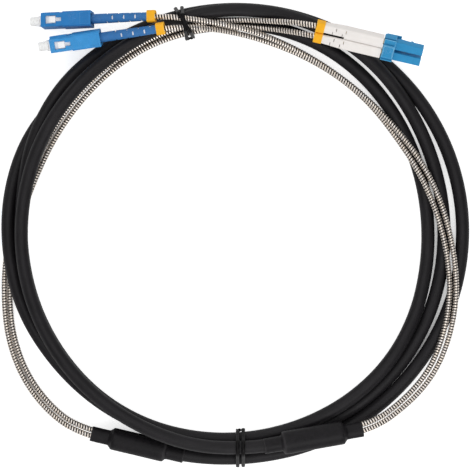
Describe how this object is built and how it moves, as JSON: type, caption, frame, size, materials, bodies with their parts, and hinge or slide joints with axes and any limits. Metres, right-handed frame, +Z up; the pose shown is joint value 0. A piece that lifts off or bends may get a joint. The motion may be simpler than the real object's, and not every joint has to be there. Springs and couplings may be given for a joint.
{
  "type": "armoured fibre patch cord",
  "caption": "Coiled black fibre cable with heat-shrink breakouts and spiral-armoured legs, ending in a duplex square plug and push-pull plugs with dust caps.",
  "frame": {"origin": "middle of the coil on the surface that it lies on", "axes": "+Z up out of the coil's plane, +X to the right and +Y to the top of the picture"},
  "size_m": [0.2447, 0.2427, 0.0265],
  "materials": {
    "jacket": "semi-matt black cable jacket",
    "armour": "bare spiral stainless armour tube",
    "heat_shrink": "black heat-shrink tube",
    "core": "moulded filler",
    "tie": "black plastic coated wire",
    "blue_plastic": "satin moulded blue",
    "blue_boot": "soft moulded blue",
    "white_boot": "soft moulded white",
    "white_plastic": "satin moulded white",
    "ceramic": "polished zirconia ceramic",
    "flange_metal": "turned metal",
    "spring_steel": "spring wire",
    "crimp_metal": "plated crimp ring",
    "yellow_plastic": "satin moulded yellow",
    "clear_cap": "milky clear soft plastic"
  },
  "bodies": {
    "cord": {"main_cable": "jacket", "sc_leg_1": "armour", "sc_leg_2": "armour", "lc_leg_1": "armour", "lc_leg_2": "armour", "left_breakout_core": "core", "left_breakout_sleeve": "heat_shrink", "right_breakout_core": "core", "right_breakout_sleeve": "heat_shrink", "top_twist_tie": "tie", "bottom_twist_tie": "tie", "sc_1_plug_frame": "white_plastic", "sc_1_spring": "spring_steel", "sc_1_spring_stop": "flange_metal", "sc_1_crimp_ring": "crimp_metal", "sc_1_boot": "blue_boot", "sc_1_marker_ring": "yellow_plastic", "lc_1_plug_housing": "blue_plastic", "lc_1_spring": "spring_steel", "lc_1_rear_body": "flange_metal", "lc_1_crimp_ring": "crimp_metal", "lc_1_boot": "white_boot", "lc_1_marker_ring": "yellow_plastic", "sc_2_plug_frame": "white_plastic", "sc_2_spring": "spring_steel", "sc_2_spring_stop": "flange_metal", "sc_2_crimp_ring": "crimp_metal", "sc_2_boot": "blue_boot", "sc_2_marker_ring": "yellow_plastic", "lc_2_plug_housing": "blue_plastic", "lc_2_spring": "spring_steel", "lc_2_rear_body": "flange_metal", "lc_2_crimp_ring": "crimp_metal", "lc_2_boot": "white_boot", "lc_2_marker_ring": "yellow_plastic", "lc_duplex_clip": "blue_plastic"},
    "sc_1_sleeve_body": {"sc_1_coupling_sleeve": "blue_plastic"},
    "sc_1_ferrule_unit": {"sc_1_ferrule": "ceramic", "sc_1_ferrule_flange": "flange_metal"},
    "sc_1_cap_body": {"sc_1_dust_cap": "clear_cap"},
    "lc_1_ferrule_unit": {"lc_1_ferrule": "ceramic", "lc_1_ferrule_flange": "flange_metal"},
    "lc_1_latch_arm": {"lc_1_latch": "blue_plastic"},
    "sc_2_sleeve_body": {"sc_2_coupling_sleeve": "blue_plastic"},
    "sc_2_ferrule_unit": {"sc_2_ferrule": "ceramic", "sc_2_ferrule_flange": "flange_metal"},
    "sc_2_cap_body": {"sc_2_dust_cap": "clear_cap"},
    "lc_2_ferrule_unit": {"lc_2_ferrule": "ceramic", "lc_2_ferrule_flange": "flange_metal"},
    "lc_2_latch_arm": {"lc_2_latch": "blue_plastic"}
  },
  "joints": [
    {"name": "sc_1_sleeve_slide", "type": "slide", "parent": "cord", "child": "sc_1_sleeve_body", "axis": [0.9735, 0.0408, 0.225], "range_m": [0, 0.0015]},
    {"name": "sc_1_ferrule_float", "type": "slide", "parent": "cord", "child": "sc_1_ferrule_unit", "axis": [0.9735, 0.0408, 0.225], "range_m": [0, 0.0008], "stiffness_N_per_m": 1000, "deforming": ["sc_1_spring"]},
    {"name": "sc_1_cap_pull", "type": "slide", "parent": "cord", "child": "sc_1_cap_body", "axis": [-0.9735, -0.0408, -0.225], "range_m": [0, 0.005]},
    {"name": "lc_1_ferrule_float", "type": "slide", "parent": "cord", "child": "lc_1_ferrule_unit", "axis": [-0.973, 0.2282, 0.0349], "range_m": [0, 0.0008], "stiffness_N_per_m": 1000, "deforming": ["lc_1_spring"]},
    {"name": "lc_1_latch_flex", "type": "hinge", "parent": "cord", "child": "lc_1_latch_arm", "pos_m": [0.09665, 0.09745, 0.01803], "axis": [0.2147, 0.8392, 0.4997], "range_deg": [0, 8], "stiffness_Nm_per_rad": 0.05},
    {"name": "sc_2_sleeve_slide", "type": "slide", "parent": "cord", "child": "sc_2_sleeve_body", "axis": [0.9784, 0.1445, 0.1478], "range_m": [0, 0.0015]},
    {"name": "sc_2_ferrule_float", "type": "slide", "parent": "cord", "child": "sc_2_ferrule_unit", "axis": [0.9784, 0.1445, 0.1478], "range_m": [0, 0.0008], "stiffness_N_per_m": 1000, "deforming": ["sc_2_spring"]},
    {"name": "sc_2_cap_pull", "type": "slide", "parent": "cord", "child": "sc_2_cap_body", "axis": [-0.9784, -0.1445, -0.1478], "range_m": [0, 0.005]},
    {"name": "lc_2_ferrule_float", "type": "slide", "parent": "cord", "child": "lc_2_ferrule_unit", "axis": [-0.973, 0.2282, 0.0349], "range_m": [0, 0.0008], "stiffness_N_per_m": 1000, "deforming": ["lc_2_spring"]},
    {"name": "lc_2_latch_flex", "type": "hinge", "parent": "cord", "child": "lc_2_latch_arm", "pos_m": [0.09531, 0.09221, 0.01491], "axis": [0.2147, 0.8392, 0.4997], "range_deg": [0, 8], "stiffness_Nm_per_rad": 0.05}
  ]
}
